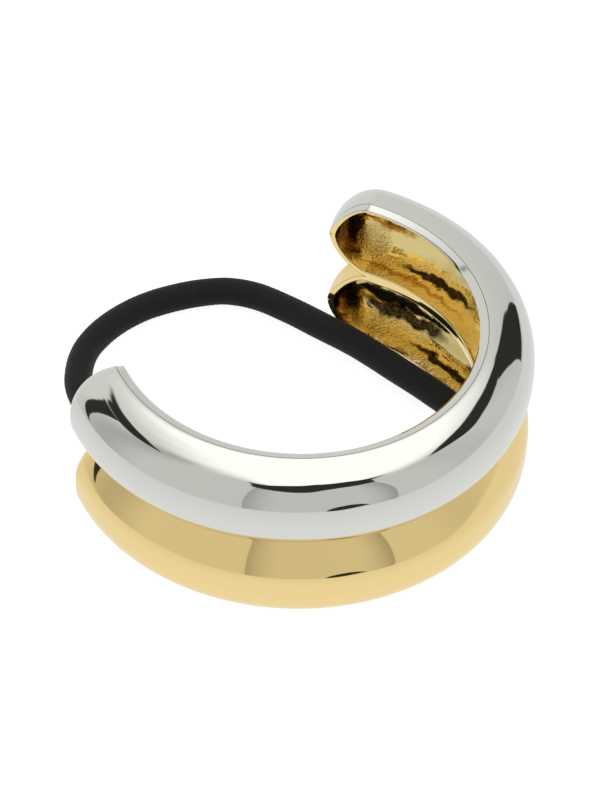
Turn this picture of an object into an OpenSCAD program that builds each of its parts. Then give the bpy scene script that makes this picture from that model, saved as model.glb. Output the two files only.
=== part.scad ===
// Ponytail cuff: two hollow half-round bands, one above the other, cast as one C-shaped piece, and a loop of
// covered elastic whose two ends are held in the lower band. Millimetres.
// Seen from above, the inner rims follow a circle, the middle of the C faces -Y and its arms open towards +Y.
// The cuff stands on its lower band, with the middle of the cast piece's own box over the origin.

/* [Bands] */
// Radius of the circle that the inner rims follow
rim_radius = 23.7; // [22:0.2:26]
// Angle from the middle of the C to each tip
arm_angle = 121.7; // [95:0.1:126]
// Height of each band, from its lower crest to its upper crest
band_height = 12; // [10:0.2:14]
// Depth of the upper band, from its inner rim to its outer face
upper_depth = 7.3; // [5.8:0.1:8]
// Depth of the lower band, from its inner rim to its outer face
lower_depth = 7.1; // [5.8:0.1:8]
// Thickness of the cast wall
wall = 0.8; // [0.6:0.1:1.2]
// How far each rim curls in from the band's crest
rim_curl = 0.4; // [0.1:0.1:1]

/* [Seam] */
// Distance from the inner rims to the middle of the seam, where each band is highest
crest_inset = 1.2; // [1:0.1:3]
// Width of the seam that joins the two bands
seam_width = 0.8; // [0.5:0.1:1.2]

/* [Tips] */
// Length over which a band's height rounds off at its tip
tip_height_round = 3.6; // [3.4:0.1:6]
// Length over which a band's depth rounds off at its tip
tip_depth_round = 3.4; // [2:0.1:3.4]
// Fullness of the height's rounding: 2 is an ellipse, more is blunter, less is nearer to a chamfer
tip_height_fullness = 1.6; // [1.4:0.1:3]
// Fullness of the depth's rounding
tip_depth_fullness = 2.1; // [1.6:0.1:3.2]
// Length over which the rims round off towards the outside at a tip
tip_rim_round = 2; // [1:0.1:3.4]
// How far the end of a tip lies outside the rims' circle
tip_end_inset = 0.8; // [0.4:0.1:2]

/* [Section] */
// Fullness of the outer face: 2 is an ellipse, more is squarer
outer_fullness = 2.25; // [1.9:0.05:2.6]
// Fullness of the curl between a crest and its rim
curl_fullness = 1.8; // [1.3:0.1:2.5]

/* [Elastic] */
// Thickness of the covered elastic
elastic_d = 3.8; // [3:0.1:4]
// Length of the tube-shaped clamp that holds the elastic's two ends
clamp_length = 8; // [6:0.5:10]
// How much thicker the clamp is than the elastic
clamp_rim = 1; // [0.6:0.1:1.6]
// Clearance between the clamp and the wall of the lower band
clamp_gap = 0.2; // [0.1:0.05:0.4]

/* [Hidden] */

half_height = band_height / 2;
arc_length = rim_radius * arm_angle * PI / 180;
lower_z = half_height;
upper_z = band_height + half_height;
full_arc = arc_length - tip_height_round; // stretch on each side that keeps its full height

// Steps of the meshed surfaces
rim_steps = 3;
outer_steps = 6;
arc_steps = 20;
tip_stations = [0.22, 0.42, 0.6, 0.75, 0.87, 0.95, 0.99]; // shares of a tip's rounding, closer towards its end

function share(x, fullness) = pow(max(0, 1 - pow(max(0, x), fullness)), 1 / fullness);

// Half a section as [distance from the rim, height], from the rim over the crest to the outermost point
function half_section(depth, crest_h, thin) =
  let(web = seam_width / 2, inner = crest_inset - web, outer = crest_inset + web)
  concat(
    [for (i = [rim_steps:-1:0]) let(t = 90 * i / rim_steps)
      [inner * (1 - pow(sin(t), 2 / curl_fullness)),
       crest_h - rim_curl * (1 - pow(cos(t), 2 / curl_fullness))]],
    [for (i = [0:outer_steps]) let(t = 90 * (1 - i / outer_steps))
      [outer + (depth - thin - outer) * pow(cos(t), 2 / outer_fullness),
       crest_h * pow(sin(t), 2 / outer_fullness)]]
  );

// A whole section, from the upper rim round the outside to the lower rim
function mirrored(half) = concat(half, [for (i = [len(half) - 2:-1:0]) [half[i][0], -half[i][1]]]);

// Outer face, then inner face back again: one closed ring of points
function ring(depth) =
  let(inside = mirrored(half_section(depth, half_height - wall, wall)))
  concat(mirrored(half_section(depth, half_height, 0)), [for (i = [len(inside) - 1:-1:0]) inside[i]]);

upper_ring = ring(upper_depth);
lower_ring = ring(lower_depth);
ring_n = len(upper_ring);
outer_n = ring_n / 2;

// Stations along the arc: [end of the full stretch or place on it, share of the tip's rounding]
stations = concat(
  [for (i = [len(tip_stations) - 1:-1:0]) [-full_arc, -tip_stations[i]]],
  [for (i = [-arc_steps:arc_steps]) [full_arc * i / arc_steps, 0]],
  [for (s = tip_stations) [full_arc, s]]
);
station_n = len(stations);

function on_circle(along, out, z) =
  let(a = along / rim_radius * 180 / PI) [(rim_radius + out) * sin(a), -(rim_radius + out) * cos(a), z];

// How far a rim lies outside its circle, which it leaves only near the tips
function rim_out(along) =
  tip_end_inset * (1 - share((abs(along) - arc_length + tip_rim_round) / tip_rim_round, 2));

// A ring's point k at a station: the inner face ends one wall short of the outer face
function band_point(section, depth, mid_z, station, k) =
  let(
    inset = k < outer_n ? 0 : wall,
    along = station[0] + station[1] * (tip_height_round - inset),
    depth_share = share((abs(along) - arc_length + tip_depth_round) / (tip_depth_round - inset), tip_depth_fullness),
    height_share = share(abs(station[1]), tip_height_fullness),
    rim = rim_out(along),
    end = rim_out(arc_length - inset),
    reach = end + (depth - inset - end) * depth_share
  )
  on_circle(along, rim + section[k][0] / (depth - inset) * (reach - rim), mid_z + section[k][1] * height_share);

function band_points(section, depth, mid_z) = concat(
  [for (s = stations) for (k = [0:ring_n - 1]) band_point(section, depth, mid_z, s, k)],
  [for (side = [-1, 1]) for (inset = [0, wall])
    on_circle(side * (arc_length - inset), rim_out(arc_length - inset), mid_z)]
);

band_n = station_n * ring_n + 4;
upper_seam = outer_n - 2 - rim_steps; // the ring's point at the seam's outer edge, on the upper band
lower_seam = rim_steps + 1; // and on the lower band

function full_height(i) = i >= 0 && i < station_n && stations[i][1] == 0;

// Number of a point. Stations -1 and station_n are the tips, and the bands share the seam's two edges.
function number(band, i, k) =
  let(j = k % ring_n)
  i < 0 ? band * band_n + station_n * ring_n + (j < outer_n ? 0 : 1) :
  i == station_n ? band * band_n + station_n * ring_n + (j < outer_n ? 2 : 3) :
  band == 1 && full_height(i) && j == lower_seam ? i * ring_n + upper_seam :
  band == 1 && full_height(i) && j == lower_seam - 1 ? i * ring_n + upper_seam + 1 :
  band * band_n + i * ring_n + j;

function in_seam(band, i, k) =
  full_height(i) && full_height(i + 1) && (band == 0 ? k == upper_seam : k == lower_seam - 1);

function whole(face) = face[0] != face[1] && face[1] != face[2] && face[2] != face[0];

function band_faces(band) = [
  for (i = [-1:station_n - 1]) for (k = [0:ring_n - 1]) if (!in_seam(band, i, k))
    let(a = number(band, i, k), b = number(band, i, k + 1),
        c = number(band, i + 1, k + 1), d = number(band, i + 1, k))
    for (face = [[a, d, c], [a, c, b]]) if (whole(face)) face
];

cast_points = concat(
  band_points(upper_ring, upper_depth, upper_z),
  band_points(lower_ring, lower_depth, lower_z)
);
cast_y = [for (p = cast_points) p[1]];
centre_y = -(min(cast_y) + max(cast_y)) / 2; // the circle's centre, in the cuff's own frame

// The clamp lies across the middle of the lower band, with its two far edges one gap from the band's inner face
clamp_d = elastic_d + clamp_rim;
clamp_reach = rim_radius + lower_depth - wall - clamp_gap;
clamp_y = centre_y + clamp_d / 2 - sqrt(pow(clamp_reach, 2) - pow(clamp_length / 2, 2));

// Route of the elastic's middle line, chosen by hand: [x, y, z]. It leaves the clamp's right end, comes out of
// the lower band, lies on the surface in a loop, and goes back to the clamp's left end.
elastic_route = [
  [4, -18.8, 6], [8, -18, 6], [12.4, -15.2, 5.6], [15.8, -10.9, 4.9], [17.8, -5.7, 4.2], [18.6, 0.4, 3.7],
  [18.9, 7.4, 3.3], [19, 14.4, 3], [18.6, 20.9, 2.6], [18.3, 25.9, 2.2], [17.4, 30.9, 2], [15.6, 34.5, 1.9],
  [13.1, 36.8, 1.9], [9.7, 38.9, 1.9], [5.7, 40.6, 1.9], [1.7, 41.4, 1.9], [-2.3, 41.4, 1.9], [-6.3, 40.5, 1.9],
  [-9.7, 38.5, 1.9], [-12.3, 35.9, 1.9], [-14.3, 31.9, 2], [-16.1, 26.9, 2.2], [-17.4, 21.5, 2.6], [-18.2, 15, 3],
  [-18.8, 7.9, 3.3], [-18.8, 0.9, 3.7], [-18.1, -5.3, 4.2], [-16.1, -10.6, 4.9], [-12.6, -15.1, 5.6],
  [-8, -18, 6], [-4, -18.8, 6]
];

// One ring of the elastic's tube, square to the route. At its two ends the route runs along X, into the clamp.
function tube_ring(route, i, r, sides) =
  let(
    ahead = i == 0 || i == len(route) - 1 ? [1, 0, 0] : route[i + 1] - route[i - 1],
    along = ahead / norm(ahead),
    flat = cross([0, 0, 1], along),
    side = flat / norm(flat),
    up = cross(along, side)
  )
  [for (s = [0:sides - 1]) let(t = 360 * (s + 0.5) / sides) route[i] + r * (cos(t) * side + sin(t) * up)];

module tube(route, r, sides) {
  n = len(route);
  polyhedron(
    [for (i = [0:n - 1]) each tube_ring(route, i, r, sides)],
    concat(
      [[for (s = [0:sides - 1]) s]],
      [for (i = [0:n - 2]) for (s = [0:sides - 1]) let(t = (s + 1) % sides)
        [i * sides + s, (i + 1) * sides + s, (i + 1) * sides + t, i * sides + t]],
      [[for (s = [sides - 1:-1:0]) (n - 1) * sides + s]]
    )
  );
}

module double_band() {
  color("gold") translate([0, centre_y, 0])
    polyhedron(cast_points, concat(band_faces(0), band_faces(1)), convexity = 10);
}

module elastic_loop() {
  color("black") tube(elastic_route, elastic_d / 2, 8);
}

module elastic_clamp() {
  color("goldenrod") translate([0, clamp_y, lower_z])
    rotate([0, 90, 0]) cylinder(h = clamp_length, d = clamp_d, center = true, $fn = 48);
}

double_band();
elastic_loop();
elastic_clamp();
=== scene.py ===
import math

import bmesh
import bpy
import numpy as np
from mathutils import Matrix, Vector, noise


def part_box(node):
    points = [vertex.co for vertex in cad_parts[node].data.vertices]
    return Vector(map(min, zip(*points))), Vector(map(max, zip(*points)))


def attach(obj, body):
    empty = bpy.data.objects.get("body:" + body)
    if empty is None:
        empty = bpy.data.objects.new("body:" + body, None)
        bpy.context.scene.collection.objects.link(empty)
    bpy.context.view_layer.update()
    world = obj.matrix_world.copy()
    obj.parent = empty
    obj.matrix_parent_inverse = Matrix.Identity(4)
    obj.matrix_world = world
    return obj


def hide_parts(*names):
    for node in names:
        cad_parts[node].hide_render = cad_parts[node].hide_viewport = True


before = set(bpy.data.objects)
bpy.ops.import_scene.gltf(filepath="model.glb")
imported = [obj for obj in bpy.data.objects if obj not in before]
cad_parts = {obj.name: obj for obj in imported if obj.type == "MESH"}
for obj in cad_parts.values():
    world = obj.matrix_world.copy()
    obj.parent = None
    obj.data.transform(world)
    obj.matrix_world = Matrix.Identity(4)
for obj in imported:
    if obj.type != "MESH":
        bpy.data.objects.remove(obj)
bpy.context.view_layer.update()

scene = bpy.context.scene
mm = 0.001


def fromHex(code):
    # one sRGB hex colour to linear values
    parts = [int(code[i:i + 2], 16) / 255 for i in (1, 3, 5)]
    return [p / 12.92 if p <= 0.04045 else ((p + 0.055) / 1.055) ** 2.4 for p in parts] + [1]


def addNode(tree, kind, settings=None, inputs=None, give=0, stops=None):
    # adds a node with its settings, links and ramp stops, and gives back one of its outputs
    node = tree.nodes.new(kind)
    for name, value in (settings or {}).items():
        setattr(node, name, value)
    for name, value in (inputs or {}).items():
        if isinstance(value, bpy.types.NodeSocket):
            tree.links.new(value, node.inputs[name])
        else:
            node.inputs[name].default_value = value
    if stops:
        ramp = node.color_ramp
        while len(ramp.elements) < len(stops):
            ramp.elements.new(1)
        for element, (place, colour) in zip(ramp.elements, stops):
            element.position = place
            element.color = colour
    return node.outputs[give] if node.outputs else node


def newMaterial(name, values):
    # a material whose shader has these values on its own sockets
    material = bpy.data.materials.new(name)
    material.use_nodes = True
    shader = material.node_tree.nodes["Principled BSDF"]
    for socket, value in values.items():
        shader.inputs[socket].default_value = value
    return material, material.node_tree, shader


# The view: a long lens, from in front of the cuff's closed side and to the left

view = {
    "azimuth": -48.636,     # degrees, 0 looks along +Y
    "elevation": 44.365,
    "roll": 1.82,
    "distance": 729.7,      # mm from the target
    "lens": 250.3,          # mm
    "sensor": 36,           # mm, along the picture's height
    "target": (0, 8.339, 10.379),   # mm, the middle of the circle that the rims follow
    "slideRight": 0.629,    # mm that the whole camera moves in its own picture plane
    "slideUp": -0.272,
}


def makeCamera():
    azimuth, elevation, roll = (math.radians(view[k]) for k in ("azimuth", "elevation", "roll"))
    back = Vector((math.sin(azimuth) * math.cos(elevation), -math.cos(azimuth) * math.cos(elevation),
                   math.sin(elevation)))
    level = Vector((math.cos(azimuth), math.sin(azimuth), 0))
    upright = back.cross(level)
    right = math.cos(roll) * level + math.sin(roll) * upright
    up = back.cross(right)
    place = Vector(view["target"]) + view["distance"] * back
    place += view["slideRight"] * right + view["slideUp"] * up
    data = bpy.data.cameras.new("camera")
    data.sensor_width = view["sensor"]
    data.lens = view["lens"]
    data.clip_end = 10      # m
    camera = bpy.data.objects.new("camera", data)
    camera.matrix_world = Matrix.Translation(place * mm) @ Matrix((right, up, back)).transposed().to_4x4()
    scene.collection.objects.link(camera)
    scene.camera = camera


makeCamera()
print("camera made")


def addMesh(name, points, faces, materials=(), faceMaterials=None, uv=None):
    # points and uv come in millimetres
    mesh = bpy.data.meshes.new(name)
    mesh.from_pydata((np.asarray(points) * mm).tolist(), [], faces)
    for material in materials:
        mesh.materials.append(material)
    if faceMaterials is not None:
        mesh.polygons.foreach_set("material_index", faceMaterials)
    if uv is not None:
        corners = np.zeros(len(mesh.loops), np.int32)
        mesh.loops.foreach_get("vertex_index", corners)
        layer = mesh.uv_layers.new(name="surfaceMm")
        layer.data.foreach_set("uv", np.asarray(uv)[corners].astype(np.float32).ravel())
    mesh.polygons.foreach_set("use_smooth", [True] * len(mesh.polygons))
    mesh.update()
    piece = bpy.data.objects.new(name, mesh)
    scene.collection.objects.link(piece)
    return piece


# The elastic: a braided polyester cover over rubber strands, laid in a loop on the surface

elastic = {
    "diameter": 3.8,
    "ringEvery": 0.17,      # mm between the tube's rings
    "sides": 68,
    "strandPitch": 0.72,    # mm along the cord from one of the cover's strands to the next
    "strands": 17,          # strands side by side round the cord, each way
    "strandDepth": 0.055,
    "swell": 0.05,          # slow unevenness of the cover
    "swellPerMm": 0.35,     # how fast that changes along the cord
    "lead": (4, 0, 0),      # how the curve runs on past its ends
    "cuts": 40,             # steps of the curve between two of the route's points
    "route": [
        (4, -18.8, 6), (8, -18, 6), (12.4, -15.2, 5.6), (15.8, -10.9, 4.9), (17.8, -5.7, 4.2),
        (18.6, 0.4, 3.7), (18.9, 7.4, 3.3), (19, 14.4, 3), (18.6, 20.9, 2.6), (18.3, 25.9, 2.2),
        (17.4, 30.9, 2), (15.6, 34.5, 1.9), (13.1, 36.8, 1.9), (9.7, 38.9, 1.9), (5.7, 40.6, 1.9),
        (1.7, 41.4, 1.9), (-2.3, 41.4, 1.9), (-6.3, 40.5, 1.9), (-9.7, 38.5, 1.9), (-12.3, 35.9, 1.9),
        (-14.3, 31.9, 2), (-16.1, 26.9, 2.2), (-17.4, 21.5, 2.6), (-18.2, 15, 3), (-18.8, 7.9, 3.3),
        (-18.8, 0.9, 3.7), (-18.1, -5.3, 4.2), (-16.1, -10.6, 4.9), (-12.6, -15.1, 5.6), (-8, -18, 6),
        (-4, -18.8, 6),
    ],
}


def smoothRoute(points, every):
    # a smooth curve through the points, cut at even steps; its ends run along X, into the clamp
    points = np.array(points, float)
    first = points[0] - elastic["lead"]
    last = points[-1] + elastic["lead"]
    padded = np.vstack([first, points, last])
    curve = []
    for a, b, c, d in zip(padded, padded[1:], padded[2:], padded[3:]):
        for t in np.arange(elastic["cuts"]) / elastic["cuts"]:
            curve.append(0.5 * (2 * b + (c - a) * t + (2 * a - 5 * b + 4 * c - d) * t ** 2
                                + (3 * b - a - 3 * c + d) * t ** 3))
    curve = np.array(curve + [points[-1]])
    run = np.concatenate([[0], np.cumsum(np.linalg.norm(np.diff(curve, axis=0), axis=1))])
    steps = np.linspace(0, run[-1], int(run[-1] / every) + 1)
    return np.stack([np.interp(steps, run, curve[:, i]) for i in range(3)], 1), run[-1]


def makeElastic():
    path, length = smoothRoute(elastic["route"], elastic["ringEvery"])
    sides = elastic["sides"]
    ahead = np.gradient(path, axis=0)
    ahead[0] = ahead[-1] = (1, 0, 0)
    ahead /= np.linalg.norm(ahead, axis=1)[:, None]
    flat = np.cross((0, 0, 1), ahead)
    flat /= np.linalg.norm(flat, axis=1)[:, None]
    upright = np.cross(ahead, flat)
    along = np.linspace(0, length, len(path))[:, None]
    turn = (np.arange(sides) / sides)[None, :]
    # two sets of strands wind round in opposite ways and pass over and under each other
    leftHand = along / elastic["strandPitch"] + elastic["strands"] * turn
    rightHand = along / elastic["strandPitch"] - elastic["strands"] * turn
    over = np.abs(np.cos(np.pi * leftHand)) * (1 + np.cos(np.pi * (rightHand + np.round(leftHand)))) / 2
    under = np.abs(np.cos(np.pi * rightHand)) * (1 - np.cos(np.pi * (leftHand + np.round(rightHand)))) / 2
    strands = np.maximum(over, under)
    waves = np.array([noise.noise(Vector(p) * elastic["swellPerMm"]) for p in path])[:, None]
    radius = elastic["diameter"] / 2 - elastic["strandDepth"] * (1 - strands)
    radius = radius - elastic["swell"] * (1 + waves) / 2
    angle = 2 * np.pi * turn
    ring = np.cos(angle)[..., None] * flat[:, None, :] + np.sin(angle)[..., None] * upright[:, None, :]
    points = (path[:, None, :] + radius[..., None] * ring).reshape(-1, 3)
    faces = [list(range(sides))[::-1]]
    for i in range(len(path) - 1):
        for k in range(sides):
            a, b = i * sides + k, i * sides + (k + 1) % sides
            faces.append([a, b, b + sides, a + sides])
    faces.append([(len(path) - 1) * sides + k for k in range(sides)])
    uv = np.stack(np.broadcast_arrays(along, turn * np.pi * elastic["diameter"]), -1).reshape(-1, 2)
    return addMesh("coveredElastic", points, faces, [blackBraid()], uv=uv), length


def blackBraid():
    # Polyester braid, dyed black, plain: matt, a little lighter where its fibres catch the light
    braid, tree, shader = newMaterial("Polyester, braided, dyed black", {
        "Roughness": 0.85, "Specular IOR Level": 0.25, "Sheen Weight": 0.06, "Sheen Roughness": 0.5})
    uv = addNode(tree, "ShaderNodeUVMap", {"uv_map": "surfaceMm"})
    threadMm = 0.27
    fuzzMm = 0.2
    fuzzShare = 0.7
    threadDepthMm = 0.03
    waveRepeat = 0.31       # the length after which a wave texture of scale 1 repeats
    threads = addNode(tree, "ShaderNodeTexWave", {"wave_type": "BANDS", "bands_direction": "DIAGONAL"}, {
        "Vector": uv, "Scale": waveRepeat / threadMm, "Distortion": 5, "Detail": 3, "Detail Scale": 2.5})
    fuzz = addNode(tree, "ShaderNodeTexNoise", {}, {"Vector": uv, "Scale": 1 / fuzzMm, "Detail": 4})
    shade = addNode(tree, "ShaderNodeMix", {"data_type": "RGBA"}, {
        "Factor": threads, "A": fromHex("#0D0E0F"), "B": fromHex("#171919")}, give="Result")
    height = addNode(tree, "ShaderNodeMath", {"operation": "MULTIPLY_ADD"}, {
        0: fuzz, 1: fuzzShare, 2: threads})
    relief = addNode(tree, "ShaderNodeBump", {}, {
        "Strength": 0.6, "Distance": threadDepthMm * mm, "Height": height})
    tree.links.new(shade, shader.inputs["Base Color"])
    tree.links.new(relief, shader.inputs["Normal"])
    return braid


cord, cordLength = makeElastic()
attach(cord, "root")
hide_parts("elastic_loop")
print("elastic made,", round(cordLength, 1), "mm long")


# The cast piece: two hollow half-round bands in one casting

castLow, castHigh = (np.array(corner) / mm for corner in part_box("double_band"))

cast = {
    "rimRadius": 23.7,
    "upperDepth": 7.3,      # from the circle of the rims to the outer face
    "lowerDepth": 7.1,
    "wall": 0.8,
    "lipDrop": 0.33,        # how far the land of a free lip slopes down to its rim
    "lipWidth": 1.17,       # and how wide it is
    "lipEdge": 0.18,        # the thin edge between that land and the hollow
    "domeStart": 0.8,       # where the outer face of a free side would be level
    "domeFullness": 2.38,   # of that face on the upper band
    "footFullness": 2.9,    # and on the lower band
    "crestInset": 1.2,
    "seamWidth": 0.8,
    "outerFullness": 2.25,
    "lowerRise": 0.7,       # how far the lower band's face goes straight up from its middle
    "lowerTurn": 24,        # degrees that it then turns in a tighter arc
    "lowerRound": 4.2,      # radius of that arc
    "lowerFlat": 13,        # radius of the flatter one above it
    "bulgeFrom": 35,        # degrees from the middle where the upper band starts to get thicker
    "bulgeTo": 100,
    "edgeRound": 0.15,
    "stations": 300,        # steps along the full stretch between the tips' roundings
    "tipStations": 26,      # and along each rounding
    "outerSteps": 30,       # points on half of the outer face
    "innerSteps": 22,
    "grooveSteps": 6,
    "fineSteps": 2000,      # points for finding where the two bands' faces meet
    "tipSpacing": 1.1,      # how much closer the stations get towards a tip
    "joinWithin": 0.0004,   # mm between points that are joined
}
# The tips are rounded by hand, so they differ a little: the left arm is longer, its tip more pointed
tips = {
    "left": {
        "angle": 123.9,         # degrees from the middle to the tip
        "heightRound": 3.6,     # length over which the height rounds off
        "heightFullness": 1.75,
        "depthRound": 3.7,
        "depthFullness": 1.4,
        "rimRound": 2.0,        # length over which the rims leave their circle
        "tipOut": 0.95,         # how far outside that circle the tip ends
        "bulge": 0.45,          # how much thicker the upper band's arm gets towards the tip
    },
    "right": {
        "angle": 122.2,
        "heightRound": 5.2,
        "heightFullness": 1.5,
        "depthRound": 3.9,
        "depthFullness": 2.1,
        "rimRound": 1.9,
        "tipOut": 0.7,
        "bulge": 0.6,
    },
}
# The hollow side, left as cast
hollow = {
    "unevenness": [(0.45, 0.1), (1.7, 0.035)],  # waves in a mm, and their height in mm
    "lipFade": 1.5,         # mm from a lip over which the unevenness grows
    "tipFade": 2,           # and from a tip
    "lowerFrom": 40,        # mm added across the lower band's hollow, to tell it from the upper one
    "grainMm": 0.35,
    "grainDepth": 0.2,      # mm
    "smoothGrain": 0.08,    # share of that depth in the smooth places
    "grainyGrain": 0.9,     # and what the grainy patches add
    "warp": 1.4,            # mm that the patches' edges wander
    "warpMm": 2.2,          # and how far apart their bends are
    "patchFade": (0.2, 1.2),    # where a patch starts to fade and ends, as a squared share of its half sizes
    "fleck": (0.36, 0.55, 0.7),     # grain that is weakest, grain that is full, and the weakest share
    # the grain's share in the painted shade's streaks, and how strongly that painted shade darkens
    "fleckInPaintedShade": 0.25,
    "paintedShadeStrength": 1.5,
    # patches as (mm from the cuff's middle along an arm, mm across the hollow), half length, half width,
    # slant
    # painted shade: near-black streaks painted where the hollow lies in shade
    "paintedShade": [
        ((36.2, 15.9), 6, 0.6, 0.05), ((41.8, 53.4), 6, 0.95, -0.04), ((34, 56.6), 5.8, 0.6, 0),
    ],
    # painted shade: brown painted into the hollow where it lies in shade, largest towards the tips
    "paintedBrownShade": [
        ((43.8, 11.8), 2.6, 0.9, 0), ((50.2, 14.5), 3.4, 7, 0), ((49.8, 54), 3.4, 7, 0),
        ((39, 17.6), 9, 0.5, 0),
    ],
    "grainy": [
        ((36, 18.3), 11, 2, 0), ((45.8, 14.5), 1.9, 2.6, 0), ((37, 16), 8, 1.6, 0.05),
        ((43, 56), 5.5, 2.2, 0.1), ((35, 57), 9, 1.6, 0),
    ],
}
rimRadius = cast["rimRadius"]
bandHeight = (castHigh[2] - castLow[2]) / 2
halfHeight = bandHeight / 2
lowerMiddle = castLow[2] + 0.5 * bandHeight
upperMiddle = castLow[2] + 1.5 * bandHeight
centreY = castLow[1] + rimRadius + cast["upperDepth"]
for tip in tips.values():
    tip["reach"] = rimRadius * math.radians(tip["angle"])
# places across a free lip's land and its crease, in mm from the crease, closest together there
lipSteps = np.array([-1, -0.75, -0.5, -0.3, -0.15, -0.06, -0.02, 0.015, 0.05]) * cast["lipWidth"]


def tipValue(name, along):
    return np.where(along < 0, tips["left"][name], tips["right"][name])


def share(x, fullness):
    # what is left of a rounded shape at x: all of it at 0, nothing at 1
    return np.clip(1 - np.clip(x, 0, None) ** fullness, 0, None) ** (1 / fullness)


def outerHalf(depth, isFree):
    # from the rim over the crest to the outermost point, as (distance from the rims' circle, height)
    if not isFree:
        return seamHalf(depth)
    crease = cast["lipWidth"]
    reach = depth - cast["domeStart"]
    fullness = cast["domeFullness"] if depth == cast["upperDepth"] else cast["footFullness"]
    start = (crease + lipSteps[-1] - cast["domeStart"]) / reach
    t = np.linspace(np.arccos(start ** (fullness / 2)), 0, cast["outerSteps"] + 1)
    out = np.concatenate([crease + lipSteps[:-1], cast["domeStart"] + reach * np.cos(t) ** (2 / fullness)])
    dome = halfHeight * share((out - cast["domeStart"]) / reach, fullness)
    land = halfHeight + (out - crease) * cast["lipDrop"] / cast["lipWidth"]
    soft = 0.008            # mm by which the crease is rounded
    height = (dome + land) / 2 - np.sqrt((dome - land) ** 2 / 4 + soft ** 2)
    return np.c_[out, np.where(out > 2 * crease, dome, height)]


def seamHalf(depth):
    # the side of the seam: flush up to the crest, then the groove where the bands touch, then the
    # outer face. The lower band's face is straight, then a tighter arc and a flatter one, up to the
    # upper band's underside.
    crest = cast["crestInset"] + cast["seamWidth"] / 2
    flat = np.linspace(cast["edgeRound"], crest, len(lipSteps))[:-1]
    power = 2 / cast["outerFullness"]
    out = np.linspace(crest, cast["upperDepth"], cast["fineSteps"])
    under = halfHeight * share((out - crest) / (cast["upperDepth"] - crest), cast["outerFullness"])
    turn = math.radians(cast["lowerTurn"])
    between = cast["lowerRound"] - cast["lowerFlat"]
    flatX = cast["lowerDepth"] - cast["lowerRound"] + between * math.cos(turn)
    flatZ = cast["lowerRise"] + between * math.sin(turn)
    arc = flatZ + np.sqrt(cast["lowerFlat"] ** 2 - (out - flatX) ** 2)
    meet = np.argmax(arc < bandHeight - under)
    groove = np.linspace(crest, out[meet], cast["grooveSteps"] + 1)[:-1]
    underGroove = np.interp(groove, out, under)
    steps = cast["outerSteps"] + 1 - cast["grooveSteps"]
    if depth == cast["upperDepth"]:
        t = np.linspace(np.arccos(((out[meet] - crest) / (depth - crest)) ** (1 / power)), 0, steps)
        face = np.c_[crest + (depth - crest) * np.cos(t) ** power, halfHeight * np.sin(t) ** power]
        height = underGroove
    else:
        t = np.linspace(np.arcsin((bandHeight - under[meet] - flatZ) / cast["lowerFlat"]), 0, steps - 1)
        flatArc = np.c_[flatX + cast["lowerFlat"] * np.cos(t), flatZ + cast["lowerFlat"] * np.sin(t)]
        tightArc = np.c_[cast["lowerDepth"] + cast["lowerRound"] * (np.cos(t) - 1),
                         cast["lowerRise"] + cast["lowerRound"] * np.sin(t)]
        face = np.vstack([np.where(t[:, None] > turn, flatArc, tightArc), [[cast["lowerDepth"], 0]]])
        height = bandHeight - underGroove
    return np.vstack([np.c_[flat, np.full(len(flat), halfHeight)], np.c_[groove, height], face])


def innerHalf(depth, isFree):
    # from the rim to the innermost point of the hollow
    wall = cast["wall"]
    crest = cast["crestInset"] + cast["seamWidth"] / 2
    top = halfHeight - wall
    rim = halfHeight - cast["lipDrop"] - cast["lipEdge"] if isFree else top
    v = np.linspace(cast["edgeRound"] / crest, 1, len(lipSteps) + 1)
    lip = np.c_[crest * v, top + (rim - top) * (1 - v) ** 2]
    t = np.linspace(np.pi / 2, 0, cast["innerSteps"] + 1)
    power = 2 / cast["outerFullness"]
    face = np.c_[crest + (depth - wall - crest) * np.cos(t) ** power, top * np.sin(t) ** power]
    return np.vstack([lip, face[1:]])


def wholeSection(half, depth, isUpper):
    # from the upper rim to the lower rim; the free lip is on top of the upper band and under the lower one
    upperHalf = half(depth, isUpper)
    lowerHalf = half(depth, not isUpper)[::-1] * (1, -1)
    return np.vstack([upperHalf, lowerHalf[1:]])


def arcStations(inset):
    # places along the arc, closer together towards the tips, and the share of height and depth at each
    x = np.sin(np.linspace(0, np.pi / 2, cast["tipStations"] + 1)) ** cast["tipSpacing"]
    left, right = tips["left"], tips["right"]
    middle = np.linspace(left["heightRound"] - left["reach"], right["reach"] - right["heightRound"],
                         cast["stations"] + 1)
    along = np.concatenate([middle[0] - x[:0:-1] * (left["heightRound"] - inset), middle,
                            middle[-1] + x[1:] * (right["heightRound"] - inset)])
    rounding = np.concatenate([x[:0:-1], np.zeros(len(middle)), x[1:]])
    heightShare = share(rounding, tipValue("heightFullness", along))
    depthRound = tipValue("depthRound", along)
    start = np.abs(along) - tipValue("reach", along) + depthRound
    depthShare = share(start / (depthRound - inset), tipValue("depthFullness", along))
    heightShare[[0, -1]] = depthShare[[0, -1]] = 0
    return along, heightShare, depthShare


def rimOut(along):
    # how far a rim lies outside its circle, which it leaves only near the tips
    rimRound = tipValue("rimRound", along)
    start = np.abs(along) - tipValue("reach", along) + rimRound
    return tipValue("tipOut", along) * (1 - share(start / rimRound, 2))


def onCircle(along, out, z):
    angle = along / rimRadius
    return np.stack([(rimRadius + out) * np.sin(angle), centreY - (rimRadius + out) * np.cos(angle), z], -1)


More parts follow.
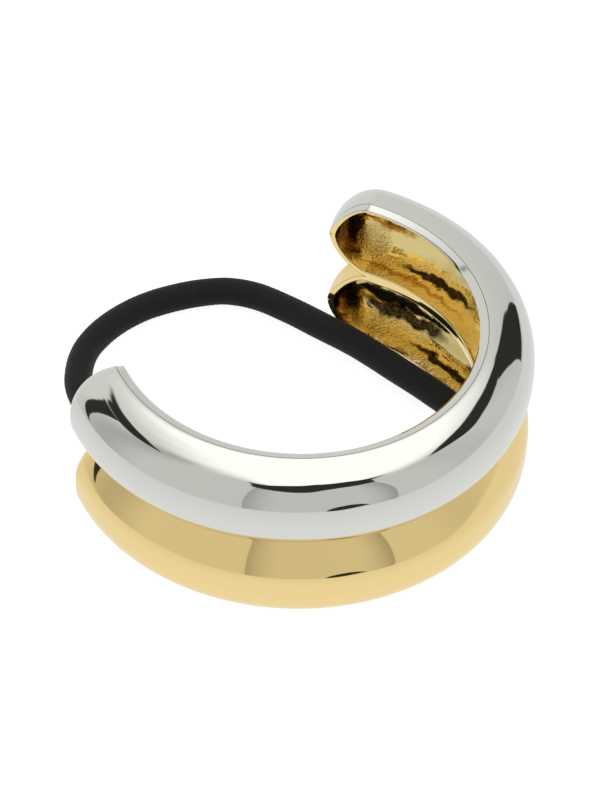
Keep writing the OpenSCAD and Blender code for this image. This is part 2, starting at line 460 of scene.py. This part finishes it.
def bandGrid(section, inset, middleZ):
    along, heightShare, depthShare = arcStations(inset)
    rim = rimOut(along)
    end = rimOut(np.sign(along) * (tipValue("reach", along) - inset))
    depth = section[:, 0].max()
    fromMiddle = np.degrees(np.abs(along) / rimRadius)
    towardsTip = (fromMiddle - cast["bulgeFrom"]) / (cast["bulgeTo"] - cast["bulgeFrom"])
    towardsTip = np.clip(towardsTip, 0, 1)
    bulge = tipValue("bulge", along) * towardsTip ** 2 * (3 - 2 * towardsTip) * (middleZ == upperMiddle)
    reach = end + (depth + bulge - end) * depthShare
    out = rim[:, None] + section[None, :, 0] * ((reach - rim) / depth)[:, None]
    z = middleZ + section[None, :, 1] * heightShare[:, None]
    run = np.concatenate([[0], np.cumsum(np.linalg.norm(np.diff(section, axis=0), axis=1))])
    uv = np.stack(np.broadcast_arrays(along[:, None], run[None, :]), -1)
    return onCircle(np.broadcast_to(along[:, None], out.shape), out, z), uv


def lipStrip(outerEdge, outerCorner, innerCorner, innerEdge):
    # the land between an outer face and its inner face, with both edges rounded
    flat = 0.22             # share of the land's width that each rounding takes
    towards = outerCorner + flat * (innerCorner - outerCorner)
    back = innerCorner + flat * (outerCorner - innerCorner)
    rows = []
    for t in (1 / 3, 2 / 3, 1):
        rows.append(outerCorner + (1 - t) ** 2 * (outerEdge - outerCorner) + t ** 2 * (towards - outerCorner))
    for t in (1, 2 / 3, 1 / 3):
        rows.append(innerCorner + (1 - t) ** 2 * (innerEdge - innerCorner) + t ** 2 * (back - innerCorner))
    return np.stack(rows, 1)


def bandRings(depth, middleZ, isUpper):
    # every station's closed ring of points: outer face, lower land, inner face, upper land
    outer, outerUv = bandGrid(wholeSection(outerHalf, depth, isUpper), 0, middleZ)
    inner, innerUv = bandGrid(wholeSection(innerHalf, depth, isUpper), cast["wall"], middleZ)
    roughen(inner, innerUv)
    innerUv = innerUv + (0, 0 if isUpper else hollow["lowerFrom"])
    corners = {}
    full = slice(cast["tipStations"], -cast["tipStations"])
    for side, isFree in ((1, isUpper), (-1, not isUpper)):
        outerZ = side * (halfHeight - cast["lipDrop"] if isFree else halfHeight)
        lip = cast["lipEdge"] if isFree else cast["wall"]
        for face, z, inset in (("outer", outerZ, 0), ("inner", outerZ - side * lip, cast["wall"])):
            along, heightShare, _ = arcStations(inset)
            corners[face, side] = onCircle(along, rimOut(along), middleZ + z * heightShare)
        if not isFree:
            # along the full stretch the two bands' lips are one flush land
            outer[full, 0 if side == 1 else -1] = corners["outer", side][full]
    lower = lipStrip(outer[:, -1], corners["outer", -1], corners["inner", -1], inner[:, -1])
    upper = lipStrip(outer[:, 0], corners["outer", 1], corners["inner", 1], inner[:, 0])[:, ::-1]
    rings = np.concatenate([outer, lower, inner[:, ::-1], upper], 1)
    blank = np.zeros(lower.shape[:2] + (2,))
    uv = np.concatenate([outerUv, blank, innerUv[:, ::-1], blank], 1)
    marks = [0] * outer.shape[1] + [0] * lower.shape[1] + [1] * inner.shape[1] + [0] * upper.shape[1]
    return rings, uv, marks


def roughen(grid, uv):
    # the hollow side is as cast: slow unevenness that fades out at the lips and the tips
    along, across = uv[..., 0], uv[..., 1]
    width = across.max()
    fade = np.clip(np.minimum(across, width - across) / hollow["lipFade"], 0, 1)
    tip = np.clip((tipValue("reach", along) - np.abs(along)) / hollow["tipFade"], 0, 1)
    centre = np.stack([np.zeros_like(along), np.zeros_like(along) + centreY, grid[..., 2]], -1)
    outward = grid - centre
    outward[..., 2] = 0
    outward /= np.maximum(np.linalg.norm(outward, axis=-1, keepdims=True), 1e-9)
    lift = np.zeros(along.size)
    for perMm, height in hollow["unevenness"]:
        lift += height * np.array([noise.noise(Vector(p) * perMm) for p in grid.reshape(-1, 3)])
    lift = lift.reshape(along.shape) * fade * tip
    grid += outward * lift[..., None]


def makeCastBody():
    upperRings, upperUv, marks = bandRings(cast["upperDepth"], upperMiddle, True)
    lowerRings, lowerUv, _ = bandRings(cast["lowerDepth"], lowerMiddle, False)
    stationN, ringN = upperRings.shape[:2]
    bandN = stationN * ringN
    outerN = 2 * (len(lipSteps) + cast["outerSteps"]) - 1
    tipN = cast["tipStations"]
    seamN = len(lipSteps) + cast["grooveSteps"]
    upperSeam = range(outerN - seamN, outerN)    # the upper band's points on the seam and in the groove
    lowerSeam = range(seamN)
    points = np.vstack([upperRings.reshape(-1, 3), lowerRings.reshape(-1, 3)])
    uv = np.vstack([upperUv.reshape(-1, 2), lowerUv.reshape(-1, 2)])
    faces = []
    kinds = []
    for band, seam in ((0, upperSeam), (1, lowerSeam)):
        for i in range(stationN - 1):
            inFull = tipN <= i < stationN - 1 - tipN
            for k in range(ringN):
                j = (k + 1) % ringN
                if inFull and k in seam and j in seam:
                    continue
                a, b = band * bandN + i * ringN + k, band * bandN + i * ringN + j
                faces.append([a, b, b + ringN, a + ringN])
                kinds.append(marks[k] and marks[j])
    # where the seam's faces are left out, the two lips' rounded edges and the outer groove close each other
    for i in range(tipN, stationN - tipN):
        for k, j in zip(upperSeam, reversed(lowerSeam)):
            points[bandN + i * ringN + j] = points[i * ringN + k]
    return points, faces, kinds, uv


def joinMeeting(piece, distance):
    # joins points that meet, and takes out faces that this leaves without area
    work = bmesh.new()
    work.from_mesh(piece.data)
    bmesh.ops.remove_doubles(work, verts=work.verts, dist=distance)
    bmesh.ops.dissolve_degenerate(work, edges=work.edges, dist=distance / 10)
    bmesh.ops.recalc_face_normals(work, faces=work.faces)
    for face in work.faces:
        face.smooth = True
    work.to_mesh(piece.data)
    work.free()


def polishWaves(tree, shader):
    # the slow waves that polishing leaves in a casting
    waveMm = 9
    waveDepthMm = 0.02
    place = addNode(tree, "ShaderNodeTexCoord", give="Object")
    waves = addNode(tree, "ShaderNodeTexNoise", {}, {
        "Vector": place, "Scale": 1 / (waveMm * mm), "Detail": 1})
    relief = addNode(tree, "ShaderNodeBump", {}, {
        "Strength": 1, "Distance": waveDepthMm * mm, "Height": waves})
    tree.links.new(relief, shader.inputs["Normal"])


def polishedGold():
    # Zinc alloy, cast, polished and plated with pale gold: a clean mirror with a warm, light yellow tint
    gold, tree, shader = newMaterial("Zinc alloy, cast, polished, pale gold plate", {
        "Base Color": fromHex("#FEE3A0"), "Metallic": 1, "Roughness": 0.045})
    polishWaves(tree, shader)
    return gold


def patch(tree, u, v, middle, halfLength, halfWidth, slant):
    # 1 inside a long patch of the hollow, fading to 0 at its edge
    along = addNode(tree, "ShaderNodeMath", {"operation": "MULTIPLY_ADD"}, {
        0: u, 1: 1 / halfLength, 2: -middle[0] / halfLength})
    level = addNode(tree, "ShaderNodeMath", {"operation": "MULTIPLY_ADD"}, {0: u, 1: -slant, 2: v})
    across = addNode(tree, "ShaderNodeMath", {"operation": "MULTIPLY_ADD"}, {
        0: level, 1: 1 / halfWidth, 2: (slant * middle[0] - middle[1]) / halfWidth})
    square = addNode(tree, "ShaderNodeMath", {"operation": "MULTIPLY"}, {0: across, 1: across})
    distance = addNode(tree, "ShaderNodeMath", {"operation": "MULTIPLY_ADD"}, {0: along, 1: along, 2: square})
    fadeFrom, fadeTo = hollow["patchFade"]
    return addNode(tree, "ShaderNodeMapRange", {}, {
        "Value": distance, "From Min": fadeFrom, "From Max": fadeTo, "To Min": 1, "To Max": 0})


def castGold():
    # The same plate over the bare casting: smooth pale places and grainy ones that sparkle, with painted
    # shade in the hollow: near-black streaks and brown patches where it lies in shade
    gold, tree, shader = newMaterial("Zinc alloy, as cast, pale gold plate", {
        "Metallic": 1, "Roughness": 0.08})
    place = addNode(tree, "ShaderNodeTexCoord", give="Object")
    grain = addNode(tree, "ShaderNodeTexNoise", {}, {
        "Vector": place, "Scale": 1 / (hollow["grainMm"] * mm), "Detail": 3})
    wander = addNode(tree, "ShaderNodeTexNoise", {}, {
        "Vector": place, "Scale": 1 / (hollow["warpMm"] * mm), "Detail": 4})
    surface = tree.nodes.new("ShaderNodeSeparateXYZ")
    tree.links.new(addNode(tree, "ShaderNodeUVMap", {"uv_map": "surfaceMm"}), surface.inputs[0])
    u = addNode(tree, "ShaderNodeMath", {"operation": "ABSOLUTE"}, {0: surface.outputs[0]})
    shift = addNode(tree, "ShaderNodeMath", {"operation": "MULTIPLY_ADD"}, {
        0: wander, 1: 2 * hollow["warp"], 2: -hollow["warp"]})
    v = addNode(tree, "ShaderNodeMath", {"operation": "ADD"}, {0: surface.outputs[1], 1: shift})
    masks = {}
    for name in ("paintedShade", "paintedBrownShade", "grainy"):
        masks[name] = 0
        for middle, halfLength, halfWidth, slant in hollow[name]:
            masks[name] = addNode(tree, "ShaderNodeMath", {"operation": "MAXIMUM"}, {
                0: masks[name], 1: patch(tree, u, v, middle, halfLength, halfWidth, slant)})
    weakest, full, weakestShare = hollow["fleck"]
    speckle = addNode(tree, "ShaderNodeMapRange", {}, {
        "Value": grain, "From Min": weakest, "From Max": full, "To Min": weakestShare, "To Max": 1})
    # painted shade: the dark streaks, broken up a little by the grain
    strong = addNode(tree, "ShaderNodeMath", {"operation": "MULTIPLY", "use_clamp": True}, {
        0: masks["paintedShade"], 1: hollow["paintedShadeStrength"]})
    fleck = addNode(tree, "ShaderNodeMath", {"operation": "MULTIPLY_ADD"}, {
        0: speckle, 1: hollow["fleckInPaintedShade"], 2: 1 - hollow["fleckInPaintedShade"]})
    paintedShade = addNode(tree, "ShaderNodeMath", {"operation": "MULTIPLY"}, {0: strong, 1: fleck})
    # painted shade: the brown patches, grained by the speckle
    paintedBrownShade = addNode(tree, "ShaderNodeMath", {"operation": "MULTIPLY"}, {0: masks["paintedBrownShade"], 1: speckle})
    brownShadeMix = addNode(tree, "ShaderNodeMix", {"data_type": "RGBA"}, {
        "Factor": paintedBrownShade, "A": fromHex("#FDE6A0"), "B": fromHex("#CE9E50")}, give="Result")
    shade = addNode(tree, "ShaderNodeMix", {"data_type": "RGBA"}, {
        "Factor": paintedShade, "A": brownShadeMix, "B": fromHex("#30220D")}, give="Result")
    rough = addNode(tree, "ShaderNodeMath", {"operation": "MULTIPLY_ADD"}, {
        0: masks["grainy"], 1: hollow["grainyGrain"], 2: hollow["smoothGrain"]})
    lifted = addNode(tree, "ShaderNodeMath", {"operation": "MULTIPLY"}, {0: grain, 1: rough})
    relief = addNode(tree, "ShaderNodeBump", {}, {
        "Strength": 1, "Distance": hollow["grainDepth"] * mm, "Height": lifted})
    tree.links.new(shade, shader.inputs["Base Color"])
    tree.links.new(relief, shader.inputs["Normal"])
    return gold


points, faces, kinds, uv = makeCastBody()
castBody = addMesh("castBody", points, faces, [polishedGold(), castGold()], kinds, uv)
joinMeeting(castBody, cast["joinWithin"] * mm)
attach(castBody, "root")
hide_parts("double_band")
print("cast body made,", len(castBody.data.polygons), "faces")


# The silver plate: a closed skin over the upper band's outer face

plating = {
    "proud": 0.03,          # mm that the skin stands off the gold
    "sunk": 0.08,           # mm that its back lies in the casting
    "creaseRows": (5, 6),   # rows of its faces that lie in the crease of the free lip
}


def gridNormals(grid):
    acrossRow = np.gradient(grid, axis=1)
    alongRow = np.gradient(grid, axis=0)
    normal = np.cross(alongRow, acrossRow)
    length = np.linalg.norm(normal, axis=-1, keepdims=True)
    return normal / np.maximum(length, 1e-12)


def makePlating():
    grid = bandGrid(wholeSection(outerHalf, cast["upperDepth"], True), 0, upperMiddle)[0][1:-1]
    normal = gridNormals(grid)
    middle = len(grid) // 2, len(lipSteps) + cast["outerSteps"] // 2
    normal *= np.sign(normal[middle] @ (grid[middle] - (0, centreY, upperMiddle)))
    front = grid + plating["proud"] * normal
    back = grid - plating["sunk"] * normal
    stationN, rowN = grid.shape[:2]
    tipN = cast["tipStations"]
    seamEdge = rowN - len(lipSteps) - cast["grooveSteps"]
    keep = np.ones((stationN - 1, rowN - 1), bool)
    keep[tipN - 1:stationN - tipN, seamEdge:] = False
    total = stationN * rowN
    faces = []
    kinds = []
    edges = {}
    for i, k in zip(*np.nonzero(keep)):
        a = i * rowN + k
        kinds += [int(k in plating["creaseRows"])] * 2
        ring = [a, a + 1, a + 1 + rowN, a + rowN]
        faces.append([int(p) for p in ring])
        faces.append([int(p) + total for p in reversed(ring)])
        for p, q in zip(ring, ring[1:] + ring[:1]):
            edges[p, q] = edges.get((p, q), 0) + 1
    for p, q in edges:
        if (q, p) not in edges:
            faces.append([int(q), int(p), int(p) + total, int(q) + total])
            kinds.append(0)
    points = np.vstack([front.reshape(-1, 3), back.reshape(-1, 3)])
    used = sorted({p for face in faces for p in face})
    number = {p: n for n, p in enumerate(used)}
    return points[used], [[number[p] for p in face] for face in faces], kinds


def creaseShadeSilver():
    # The same plate in the crease beside the lip, painted grey and rough: a thin line of painted shade
    return newMaterial("Zinc alloy, cast, silver plate, crease with painted shade", {
        "Base Color": fromHex("#7C7C79"), "Metallic": 1, "Roughness": 0.5})[0]


def polishedSilver():
    # The same casting under bright silver plate: a neutral mirror, very slightly warm
    silver, tree, shader = newMaterial("Zinc alloy, cast, polished, silver plate", {
        "Base Color": fromHex("#E5E5E1"), "Metallic": 1, "Roughness": 0.04})
    polishWaves(tree, shader)
    return silver


points, faces, kinds = makePlating()
silverPlating = addMesh("silverPlating", points, faces, [polishedSilver(), creaseShadeSilver()], kinds)
joinMeeting(silverPlating, cast["joinWithin"] * mm)
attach(silverPlating, "root")
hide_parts("double_band")
print("silver plate made,", len(silverPlating.data.polygons), "faces")


def drawnBrass():
    # Brass tube, drawn, plain: dull yellow with fine lines along it
    brass, tree, shader = newMaterial("Brass, drawn, plain", {"Metallic": 1, "Roughness": 0.32})
    lineMm = 0.3
    lineDepthMm = 0.02
    stretch = (0.05, 1, 1)
    place = addNode(tree, "ShaderNodeTexCoord", give="Object")
    stretched = addNode(tree, "ShaderNodeVectorMath", {"operation": "MULTIPLY"}, {0: place, 1: stretch})
    lines = addNode(tree, "ShaderNodeTexNoise", {}, {
        "Vector": stretched, "Scale": 1 / (lineMm * mm), "Detail": 2})
    shade = addNode(tree, "ShaderNodeMix", {"data_type": "RGBA"}, {
        "Factor": lines, "A": fromHex("#B8914A"), "B": fromHex("#D8B56C")}, give="Result")
    relief = addNode(tree, "ShaderNodeBump", {}, {
        "Strength": 0.5, "Distance": lineDepthMm * mm, "Height": lines})
    tree.links.new(shade, shader.inputs["Base Color"])
    tree.links.new(relief, shader.inputs["Normal"])
    return brass


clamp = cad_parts["elastic_clamp"]
clamp.data.materials.clear()
clamp.data.materials.append(drawnBrass())
print("clamp finished")


# The studio: pale walls with a few dark gaps between the screens, which is what the polish mirrors

studio = {
    "silverShare": 0.78,    # what the silver gives back, so that a wall's grey is the grey seen in it
    "tint": (1, 1, 0.965),  # of the walls, the roof and the gaps
    "roof": 1.3,            # how bright the roof is
    "gap": 0.03,            # and the dark gaps
    "wall": 190,            # the grey that the silver shows in the walls
    "behind": (105, 145, 1.15),     # azimuths where the walls get brighter, and how much at the second
    # softly dimmer places: azimuth in degrees, 0 in front and + to the right, by how much, half width
    "dimPlaces": [(-137, 0.35, 26), (-40, 0.05, 40), (34, 0.1, 22), (88, 0.1, 22)],
    # where two walls meet: azimuth, the side that is dimmed, by how much, degrees that it fades over
    "wallEdges": [(-67.7, 1, 0.4, 18), (-3.3, -1, 0.47, 18)],
    "edgeSharpness": 3,     # such an edge takes one degree divided by this
    "tableShades": [(-55, 213), (-12, 203)],    # elevation, and the grey that the silver shows there
    # azimuth, elevation where the table begins, elevation where the walls begin
    "table": [
        (-180, -10, -6), (-150, -12, -7), (-134, -14, -10), (-2, -14, -10), (10, -13, -9), (22, -10, -5),
        (34, -7, -1), (46, -3, 3), (58, 0, 5), (70, 1, 6), (98, 2, 7), (130, 0, 5), (150, -6, -1),
        (180, -10, -6),
    ],
    # azimuth, elevation where the roof's light begins, elevation where it is full
    "roofEdge": [
        (-180, 58, 80), (-150, 60, 82), (-120, 64, 84), (-95, 65, 82), (-80, 65, 76), (-60, 62, 68),
        (-30, 64, 70), (-5, 58, 67), (10, 56, 68), (30, 52, 68), (60, 50, 66), (90, 46, 63), (110, 42, 58),
        (124, 43.5, 49), (131, 44, 47), (140, 45, 52), (154, 46, 72), (180, 58, 80),
    ],
    # dark gaps: azimuth, elevation of the lower edge, elevation of the upper edge
    "highGaps": [
        (-180, 48.7, 54.4), (-172.5, 46.5, 56), (-155, 46, 58.5), (-150, 47.2, 58.3), (-143.7, 49.4, 57.8),
        (-137.5, 53.7, 57.7), (-130, 56.2, 56.2), (-86, 70, 70), (-80, 67, 68), (-73.7, 62.5, 66.7),
        (-70.6, 56, 66.4), (-63.7, 53, 65.8), (-55, 50.2, 68), (-47, 47.6, 68.7), (-38.7, 47.2, 69),
        (-30, 51.5, 70.5), (-21, 53, 69.4), (-7.5, 51.5, 68), (-2.5, 50.8, 66), (-0.6, 55, 65),
        (0.6, 58.7, 64.7), (8.7, 59.4, 62.5), (19, 60.3, 60.3), (36, 54.4, 54.4), (40, 53.7, 55.6),
        (47.5, 50, 57.2), (55, 43.7, 58), (60, 42.5, 58.1), (70, 43.2, 57.5), (90, 42.1, 53.7),
        (90.5, 48, 48),
    ],
    "farGaps": [
        (-180, 49.5, 54.4), (-179, 48, 48), (88, 42, 42), (90, 42.1, 53.7), (100, 42.1, 51.2),
        (110, 43, 46.5), (112, 44, 44), (154.5, 49, 49), (156, 49.4, 50.2), (165, 50, 52), (180, 49.5, 54.4),
    ],
    "lowGaps": [
        (-175, 46.5, 46.5), (-167.5, 42.5, 47), (-161.2, 35.6, 47), (-156.9, 26.2, 47),
        (-154.7, 18.7, 46.9), (-152.5, 10, 40), (-150, 1.5, 32.5), (-148.1, -3, 23.7), (-146.9, -5, 13.7),
        (-146.2, -6.5, 0), (-146, -6.5, -6.5), (-34, -12, -12), (-32, -13, -5), (-29, -13, -1.5),
        (-24.5, -12, 0.5), (-20, -10.5, -2), (-15.5, -10, -9.5), (-15, -10, -10), (79.3, 7.5, 7.5),
        (79.7, 7.5, 11), (81.9, 7.8, 20), (84.4, 8, 30), (87.5, 7.8, 36), (90.6, 7.8, 43), (97.5, 5, 44),
        (98.5, 10, 44), (103, 27.5, 45), (107.5, 33.7, 45), (111.2, 39.4, 45), (114, 44.5, 45),
        (115, 45, 45),
    ],
    "floorHalf": 3000,      # mm from its middle to its side
    "floorDrop": 0.02,      # mm that the floor lies under the cuff
    "floorGlow": 0.93,      # how bright it is by itself
    "lampSize": 1.6,        # m
    "lampHeight": 1.2,      # m
    "lampWatts": 18,
}


def greyToRadiance(grey):
    return fromHex("#" + "%02X" % round(grey) * 3)[0] / studio["silverShare"]


def makeWorld():
    world = bpy.data.worlds.new("studio")
    scene.world = world
    world.use_nodes = True
    tree = world.node_tree
    tree.nodes.clear()
    way = addNode(tree, "ShaderNodeTexCoord", give="Generated")
    parts = tree.nodes.new("ShaderNodeSeparateXYZ")
    tree.links.new(way, parts.inputs[0])
    behind = addNode(tree, "ShaderNodeMath", {"operation": "MULTIPLY"}, {0: parts.outputs[1], 1: -1})
    angle = addNode(tree, "ShaderNodeMath", {"operation": "ARCTAN2"}, {0: parts.outputs[0], 1: behind})
    turn = addNode(tree, "ShaderNodeMath", {"operation": "MULTIPLY_ADD"}, {
        0: angle, 1: 0.5 / math.pi, 2: 0.5})
    rise = addNode(tree, "ShaderNodeMath", {"operation": "ARCSINE"}, {0: parts.outputs[2]})
    elevation = addNode(tree, "ShaderNodeMath", {"operation": "MULTIPLY"}, {0: rise, 1: 180 / math.pi})

    def grey(value):
        return [value * t for t in studio["tint"]] + [1]

    degrees = addNode(tree, "ShaderNodeMath", {"operation": "MULTIPLY_ADD"}, {0: turn, 1: 360, 2: -180})
    sideways = addNode(tree, "ShaderNodeMath", {"operation": "ABSOLUTE"}, {0: degrees})
    brighterFrom, brighterTo, brighter = studio["behind"]
    level = addNode(tree, "ShaderNodeMapRange", {"interpolation_type": "SMOOTHSTEP"}, {
        "Value": sideways, "From Min": brighterFrom, "From Max": brighterTo, "To Min": 1, "To Max": brighter})
    for azimuth, dim, halfWidth in studio["dimPlaces"]:
        apart = addNode(tree, "ShaderNodeMath", {"operation": "SUBTRACT"}, {0: degrees, 1: azimuth})
        distance = addNode(tree, "ShaderNodeMath", {"operation": "ABSOLUTE"}, {0: apart})
        light = addNode(tree, "ShaderNodeMapRange", {"interpolation_type": "SMOOTHSTEP"}, {
            "Value": distance, "From Min": 0, "From Max": halfWidth, "To Min": 1 - dim, "To Max": 1})
        level = addNode(tree, "ShaderNodeMath", {"operation": "MULTIPLY"}, {0: level, 1: light})
    walls = addNode(tree, "ShaderNodeVectorMath", {"operation": "SCALE"}, {
        "Vector": grey(greyToRadiance(studio["wall"]))[:3], "Scale": level})
    for azimuth, side, dim, fade in studio["wallEdges"]:
        beyond = addNode(tree, "ShaderNodeMath", {"operation": "MULTIPLY_ADD"}, {
            0: turn, 1: 360 * side, 2: -(180 + azimuth) * side})
        isBeyond = addNode(tree, "ShaderNodeMath", {"operation": "MULTIPLY", "use_clamp": True}, {
            0: beyond, 1: studio["edgeSharpness"]})
        fading = addNode(tree, "ShaderNodeMath", {"operation": "MULTIPLY_ADD", "use_clamp": True}, {
            0: beyond, 1: -1 / fade, 2: 1})
        faded = addNode(tree, "ShaderNodeMath", {"operation": "POWER"}, {0: fading, 1: 2})
        dimmed = addNode(tree, "ShaderNodeMath", {"operation": "MULTIPLY"}, {0: isBeyond, 1: faded})
        light = addNode(tree, "ShaderNodeMath", {"operation": "MULTIPLY_ADD"}, {0: dimmed, 1: -dim, 2: 1})
        walls = addNode(tree, "ShaderNodeVectorMath", {"operation": "SCALE"}, {
            "Vector": walls, "Scale": light})

    lowest, span = -30, 120     # the elevation that a ramp's black stands for, and how far its white is above

    def edgeOf(table, column):
        # one edge from a table, as an elevation that changes with azimuth; a ramp holds 32 stops at most
        stops = [((row[0] + 180) / 360, [(row[column] - lowest) / span] * 3 + [1]) for row in table]
        ramp = addNode(tree, "ShaderNodeValToRGB", {}, {"Fac": turn}, stops=stops)
        return addNode(tree, "ShaderNodeMath", {"operation": "MULTIPLY_ADD"}, {0: ramp, 1: span, 2: lowest})

    onTable = addNode(tree, "ShaderNodeMapRange", {"interpolation_type": "SMOOTHSTEP"}, {
        "Value": elevation, "From Min": edgeOf(studio["table"], 1), "From Max": edgeOf(studio["table"], 2),
        "To Min": 1, "To Max": 0})
    (low, lowGrey), (high, highGrey) = studio["tableShades"]
    tableShade = addNode(tree, "ShaderNodeMapRange", {}, {
        "Value": elevation, "From Min": low, "From Max": high,
        "To Min": greyToRadiance(lowGrey), "To Max": greyToRadiance(highGrey)})
    table = addNode(tree, "ShaderNodeMix", {"data_type": "RGBA"}, {
        "Factor": onTable, "A": walls, "B": tableShade}, give="Result")
    atRoof = addNode(tree, "ShaderNodeMapRange", {"interpolation_type": "SMOOTHSTEP"}, {
        "Value": elevation, "From Min": edgeOf(studio["roofEdge"], 1),
        "From Max": edgeOf(studio["roofEdge"], 2)})
    colour = addNode(tree, "ShaderNodeMix", {"data_type": "RGBA"}, {
        "Factor": atRoof, "A": table, "B": grey(studio["roof"])}, give="Result")
    for name in ("highGaps", "farGaps", "lowGaps"):
        above = addNode(tree, "ShaderNodeMath", {"operation": "SUBTRACT", "use_clamp": True}, {
            0: elevation, 1: edgeOf(studio[name], 1)})
        below = addNode(tree, "ShaderNodeMath", {"operation": "SUBTRACT", "use_clamp": True}, {
            0: edgeOf(studio[name], 2), 1: elevation})
        inside = addNode(tree, "ShaderNodeMath", {"operation": "MULTIPLY"}, {0: above, 1: below})
        colour = addNode(tree, "ShaderNodeMix", {"data_type": "RGBA"}, {
            "Factor": inside, "A": colour, "B": grey(studio["gap"])}, give="Result")
    paths = tree.nodes.new("ShaderNodeLightPath")
    seen = addNode(tree, "ShaderNodeMix", {"data_type": "RGBA"}, {
        "Factor": paths.outputs["Is Camera Ray"], "A": colour, "B": (1, 1, 1, 1)}, give="Result")
    background = addNode(tree, "ShaderNodeBackground", {}, {"Color": seen, "Strength": 1})
    addNode(tree, "ShaderNodeOutputWorld", {}, {"Surface": background})


def makeFloor():
    # it glows a little, so that the shadows on it stay as faint as on a lit table
    size = studio["floorHalf"]
    paper = newMaterial("Paper, coated, white", {
        "Base Color": fromHex("#6C6C6C"), "Emission Color": (1, 1, 1, 1),
        "Emission Strength": studio["floorGlow"], "Roughness": 1, "Specular IOR Level": 0})[0]
    corners = [(-size, -size, 0), (size, -size, 0), (size, size, 0), (-size, size, 0)]
    floor = addMesh("floor", corners, [[0, 1, 2, 3]], [paper])
    floor.visible_glossy = False
    floor.location.z = -studio["floorDrop"] * mm


def makeLamp():
    data = bpy.data.lights.new("overhead", "AREA")
    data.shape = "SQUARE"
    data.size = studio["lampSize"]
    data.energy = studio["lampWatts"]
    lamp = bpy.data.objects.new("overhead", data)
    lamp.location = (0, 0, studio["lampHeight"])
    lamp.visible_glossy = False
    scene.collection.objects.link(lamp)


makeWorld()
makeFloor()
makeLamp()
scene.view_settings.view_transform = "Standard"
print("studio made")
